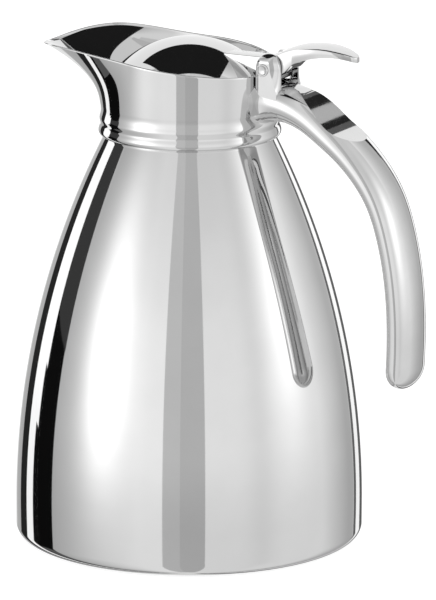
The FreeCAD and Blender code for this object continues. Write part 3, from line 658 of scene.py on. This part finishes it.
def ear_blank(side):
    """One hinge ear: a flat outer face, a bevel behind it that narrows downwards, and a rounded top."""
    front = 32.3
    top = 188.3
    shoulder = 182.2
    lip = 0.3
    bevel_low = 174.4
    bevel_span = 7.8
    round_start = 185.0
    squareness = 2.3
    middle = 0.5 * (front + EAR_BACK)
    turns = spread(50.0, 90.0, 9)
    first_sin = math.sin(math.radians(turns[0]))
    first_cos = math.cos(math.radians(turns[0]))
    levels = spread(168.0, shoulder, 16)
    levels += [shoulder + (top - shoulder) * math.sin(math.radians(t)) for t in spread(0.0, 88.0, 24)[1:]]
    rings = []
    for height in levels:
        over = max((height - shoulder) / (top - shoulder), 0.0)
        shrink = max(1.0 - over ** squareness, 0.0) ** (1.0 / squareness)
        rear = middle + (EAR_BACK - middle) * shrink
        fore = min(middle + (front - middle) * shrink, rear - 0.05)
        bevel = min(0.4 + 2.7 * clamp((height - bevel_low) / bevel_span), (rear - fore) * 0.8)
        round_over = 2.7 * clamp((height - round_start) / (top - round_start)) ** 2
        face = EAR_OUTER - round_over
        outline = [(fore, face - 0.6 * shrink), (fore + 0.15 * (rear - fore), face)]
        for turn in turns:
            along = (math.sin(math.radians(turn)) - first_sin) / (1.0 - first_sin)
            across = math.cos(math.radians(turn)) / first_cos
            outline.append((rear - bevel + bevel * along,
                            EAR_INNER + lip + (face - EAR_INNER - lip) * across))
        outline += [(rear, EAR_INNER), (fore, EAR_INNER)]
        rings.append([(x, y * side, height) for x, y in outline])
    return ring_mesh("ear", rings)


def facet_cutter():
    """Everything above the facet, from the ears' back face outwards."""
    reach = 20.0
    under = [(x, facet_height(x)) for x in spread(EAR_BACK, 80.0, 60)]
    outline = under + [(100.0, 190.0), (100.0, 210.0), (EAR_BACK, 210.0)]
    return ring_mesh("facet_cutter", [[(x, y, z) for x, z in outline] for y in (-reach, reach)])


def add_handle(material):
    """Handle casting with its ears, cut flat along the thumb facet."""
    cast = combine("handle_blank", handle_grip(), [ear_blank(-1), ear_blank(1)])
    slot = box_mesh("slot", (30.0, -EAR_INNER, 176.2), (EAR_BACK + 0.2, EAR_INNER, 195.0))
    mesh = combine("handle_cast", cast, [slot, facet_cutter()], "DIFFERENCE", sharp=18.0)
    return add_piece("handle_cast", mesh, material, "pot", "polished_casting", "handle")


# ---------------------------------------------------------------- lid

DOME = 37.0
DOME_CENTRE = 152.9
DOME_EDGE = 30.0
TONGUE_TOP = 186.1
TONGUE_HALF = 4.2
TONGUE_FRONT = 16.4
TONGUE_HEEL = 178.6
KNUCKLE = 4.2
KNUCKLE_HALF = 6.2


def add_dome(material):
    """Thin dome over the stopper: a cap of a sphere with a short skirt."""
    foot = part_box("lid_cover")[0].z / MM
    wall = 0.8
    edge_turn = math.degrees(math.acos(DOME_EDGE / DOME))
    inner_turn = math.degrees(math.acos((DOME_EDGE - wall) / (DOME - wall)))
    outline = [(DOME_EDGE - wall, foot), (DOME_EDGE - 0.15, foot), (DOME_EDGE, foot + 0.15)]
    outline += arc(0.0, DOME_CENTRE, DOME, edge_turn, 89.9, 60)
    outline += arc(0.0, DOME_CENTRE, DOME - wall, 89.9, inner_turn, 30)
    mesh = turned_mesh("dome", outline, segments=192)
    return add_piece("dome", mesh, material, "lid", "polished_steel", "lid_cover")


LEVER_TIP = 69.5
# the lever's upper and lower faces and its half width, along X from the pin to its tip
lever_top = smooth_curve((34.0, 37.0, 40.0, 43.0, 46.0, 49.0, 52.0, 55.0, 58.0, 61.0, 64.0, 67.0,
                          LEVER_TIP),
                         (186.3, 187.3, 189.0, 190.4, 191.4, 192.0, 192.3, 192.4, 192.2, 191.7, 191.0,
                          190.0, 188.9))
lever_bottom = smooth_curve((34.0, 38.0, 42.6, 45.1, 48.4, 51.2, 57.3, 61.4, 66.0, LEVER_TIP),
                            (180.0, 180.2, 181.9, 184.4, 186.2, 187.2, 188.5, 188.7, 188.0, 186.9))
lever_half = smooth_curve((34.0, 40.0, 46.0, 50.0, 54.0, 57.0, 60.0, 63.0, 65.5, 67.5, 68.8, LEVER_TIP),
                          (6.2, 6.4, 7.0, 7.35, 7.3, 6.9, 6.2, 5.3, 4.3, 3.2, 2.2, 1.0))


def lever_section(x):
    """Section across the lever at x: flat below, upright sides, a low crown on top, small edge rounds."""
    low = lever_bottom(x)
    high = lever_top(x)
    half = max(lever_half(x), 0.3)
    crown = 0.8 * (half / 7.3) ** 2
    soft = min(0.35, half * 0.3)
    side = high - crown
    ring = [(-half + soft, low), (half - soft, low)]
    ring += [(half - 0.3 * soft, low + 0.3 * soft), (half, low + soft)]
    ring += [(half, side - soft), (half - 0.3 * soft, side - 0.3 * soft)]
    for share in spread(1.0, -1.0, 23):
        across = share * (half - soft)
        ring.append((across, high - crown * share * share))
    ring += [(-half + 0.3 * soft, side - 0.3 * soft), (-half, side - soft), (-half, low + soft),
             (-half + 0.3 * soft, low + 0.3 * soft)]
    return [(x, y, z) for y, z in ring]


def knuckle_mesh():
    """The barrel on the pin, with its ends eased, along Y on the hinge's axis."""
    ease = 0.25
    outline = [(0.01, -KNUCKLE_HALF), (KNUCKLE - ease, -KNUCKLE_HALF), (KNUCKLE, -KNUCKLE_HALF + ease),
               (KNUCKLE, KNUCKLE_HALF - ease), (KNUCKLE - ease, KNUCKLE_HALF), (0.01, KNUCKLE_HALF)]
    mesh = turned_mesh("knuckle", outline, segments=96)
    axis = Matrix.Translation((HINGE[0] * MM, 0.0, HINGE[1] * MM))
    mesh.transform(axis @ Matrix.Rotation(math.pi / 2, 4, "X"))
    return mesh


def tongue_section(x):
    """Section across the tongue at x: flat on top, eased edges, its underside sunk in the dome."""
    half = TONGUE_HALF
    top = TONGUE_TOP
    soft = 0.35
    if x < DOME_EDGE:
        under = DOME_CENTRE + math.sqrt(max((DOME - 0.35) ** 2 - x ** 2, 0.0))
    else:
        under = TONGUE_HEEL
    under = min(under - 0.4, top - 1.2)
    outline = [(-half, under), (half, under), (half, top - soft), (half - 0.3 * soft, top - 0.3 * soft),
               (half - soft, top), (-half + soft, top), (-half + 0.3 * soft, top - 0.3 * soft),
               (-half, top - soft)]
    return [(x, y, z) for y, z in outline]


def add_lever(material):
    """Thumb lever, its knuckle on the pin and the flat tongue that runs onto the dome."""
    crease = 26.0
    blade_rings = [lever_section(x) for x in spread(HINGE[0], LEVER_TIP, 110)]
    tongue_rings = [tongue_section(x) for x in spread(TONGUE_FRONT, HINGE[0], 60)]
    blade = ring_mesh("blade", blade_rings, sharp=crease)
    tongue = ring_mesh("tongue", tongue_rings, sharp=crease)
    mesh = combine("lever_cast", blade, [knuckle_mesh(), tongue], sharp=28.0)
    return add_piece("lever_cast", mesh, material, "lid", "polished_casting", "thumb_lever")


# ---------------------------------------------------------------- hinge pin

def pin_head_mesh(name, side):
    """Domed head with a shallow dimple, and its shank, along Y on the hinge's axis."""
    shank = 1.3
    depth = 3.6
    outline = [(0.01, -0.12), (0.9, -0.10), (1.45, 0.0), (1.75, 0.18), (1.95, 0.36), (2.12, 0.40),
               (2.28, 0.30), (2.38, 0.10), (2.4, -0.12), (2.4, -0.3), (shank, -0.3), (shank, -depth),
               (0.01, -depth)]
    mesh = turned_mesh(name, outline, segments=64, sharp=50.0)
    turn = Matrix.Rotation(math.pi / 2 * (1 if side < 0 else -1), 4, "X")
    face = side * (EAR_OUTER + 0.25)
    mesh.transform(Matrix.Translation((HINGE[0] * MM, face * MM, HINGE[1] * MM)) @ turn)
    return mesh


make_studio()
finishes = make_finishes()
slots = {part["node"]: part["material_slot"] for part in frame["record"]["subparts"]}
for name, piece in frame["nodes"].items():
    piece.data.materials.clear()
    piece.data.materials.append(finishes[slots[name]])
sheet = finishes["polished_steel"]
casting = finishes["polished_casting"]
add_body_shell(sheet)
add_collar(sheet)
add_handle(casting)
add_dome(sheet)
add_lever(casting)
add_piece("pin_head", pin_head_mesh("pin_head", -1), sheet, "pot", "polished_steel", "hinge_pin")
add_piece("pin_cap", pin_head_mesh("pin_cap", 1), sheet, "pot", "polished_steel", "hinge_pin_cap")
